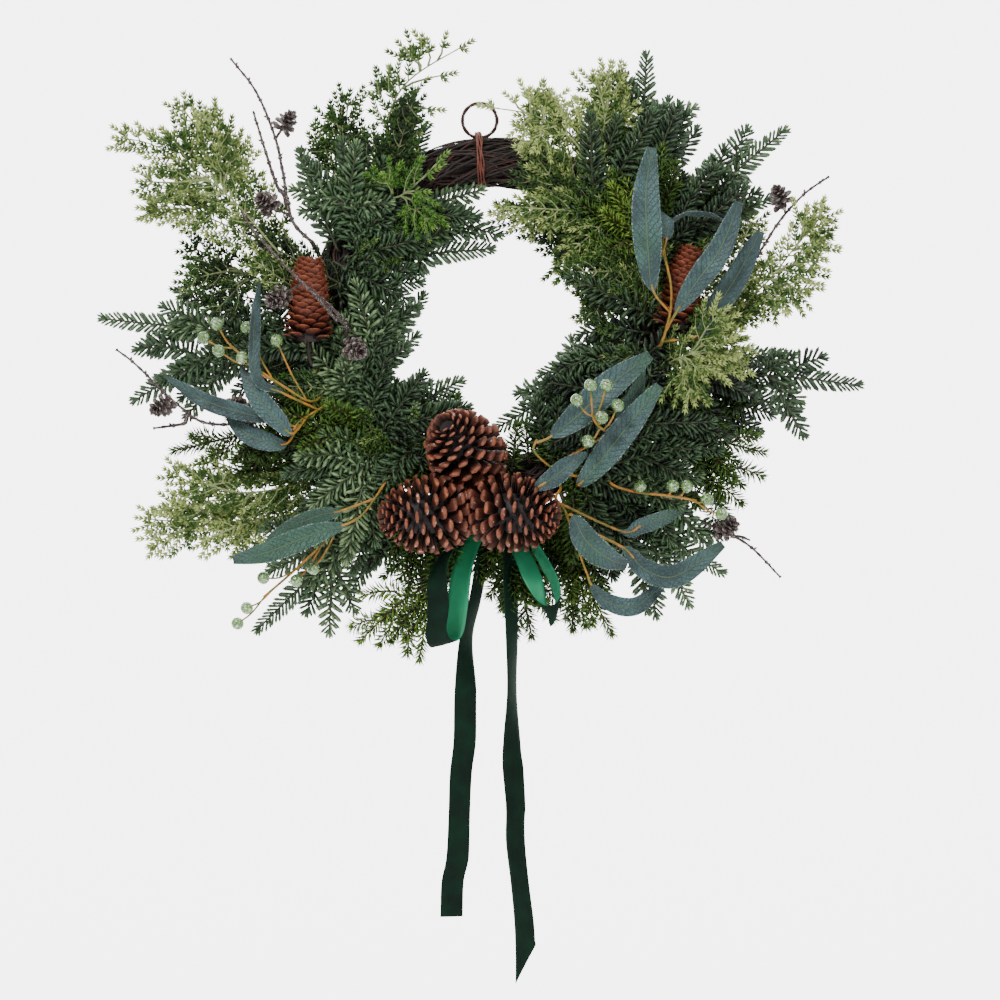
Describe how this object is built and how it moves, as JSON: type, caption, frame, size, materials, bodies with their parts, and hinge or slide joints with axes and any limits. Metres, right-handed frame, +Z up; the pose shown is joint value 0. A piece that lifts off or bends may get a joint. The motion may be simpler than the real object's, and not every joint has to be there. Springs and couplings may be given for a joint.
{
  "type": "fresh evergreen wreath",
  "caption": "Evergreen door wreath on a vine ring, with fir, pine and cedar sprays, eucalyptus leaves, berries, cones and a long dark green velvet ribbon.",
  "frame": {"origin": "top of the hole in the hanging loop, where the nail or hook carries the wreath", "axes": "+Z up, -Y towards the viewer, with the wall behind at +Y; +X to the viewer's right"},
  "size_m": [0.625, 0.1336, 0.7951],
  "materials": {
    "vine": "dry bark",
    "wire": "dark paper wrap",
    "tie": "dry bark",
    "velvet": "velvet and satin",
    "pine_cone": "dry scales",
    "spruce_cone": "dry scales",
    "larch": "frosted bark",
    "eucalyptus": "leaf",
    "berry": "clear skin",
    "fir": "needles",
    "pine": "needles",
    "cedar": "scaly leaves",
    "juniper": "scaly leaves"
  },
  "bodies": {
    "root": {"berry_stem_left": "berry", "berry_stem_lower_left": "berry", "berry_stem_lower_right": "berry", "berry_stem_right": "berry", "cedar_dark_upper_left": "cedar", "cedar_inner_right": "cedar", "cedar_inner_right_dark": "cedar", "cedar_left_dark": "cedar", "cedar_lower_left": "cedar", "cedar_lower_left_edge": "cedar", "cedar_right": "cedar", "cedar_right_bright": "cedar", "cedar_top_left": "cedar", "cedar_top_right": "cedar", "cedar_top_right_tall": "cedar", "cedar_upper_left": "cedar", "eucalyptus_left": "eucalyptus", "eucalyptus_lower_left": "eucalyptus", "eucalyptus_lower_right": "eucalyptus", "eucalyptus_right": "eucalyptus", "eucalyptus_upper_right": "eucalyptus", "fir_inner_left": "fir", "fir_inner_low_left": "fir", "fir_inner_mid_right": "fir", "fir_inner_right": "fir", "fir_inner_top_left": "fir", "fir_inner_upper_left": "fir", "fir_left": "fir", "fir_low_left_front": "fir", "fir_low_right_front": "fir", "fir_lower_left": "fir", "fir_lower_right": "fir", "fir_over_left": "fir", "fir_right": "fir", "fir_top_left": "fir", "fir_top_right": "fir", "fir_upper_right": "fir", "hanging_loop": "wire", "juniper_top_left": "juniper", "larch_twig_left": "larch", "larch_twig_lower_right": "larch", "larch_twig_over_cone": "larch", "larch_twig_upper_left": "larch", "larch_twig_upper_right": "larch", "loop_tie": "tie", "pine_behind_leaves": "pine", "pine_bottom_left": "pine", "pine_bottom_middle": "pine", "pine_bottom_right": "pine", "pine_cone_left": "pine_cone", "pine_cone_right": "pine_cone", "pine_cone_top": "pine_cone", "pine_inner_left": "pine", "pine_left": "pine", "pine_right": "pine", "pine_upper_right": "pine", "ribbon": "velvet", "spruce_cone_left": "spruce_cone", "spruce_cone_right": "spruce_cone", "vine_ring": "vine"}
  },
  "joints": []
}
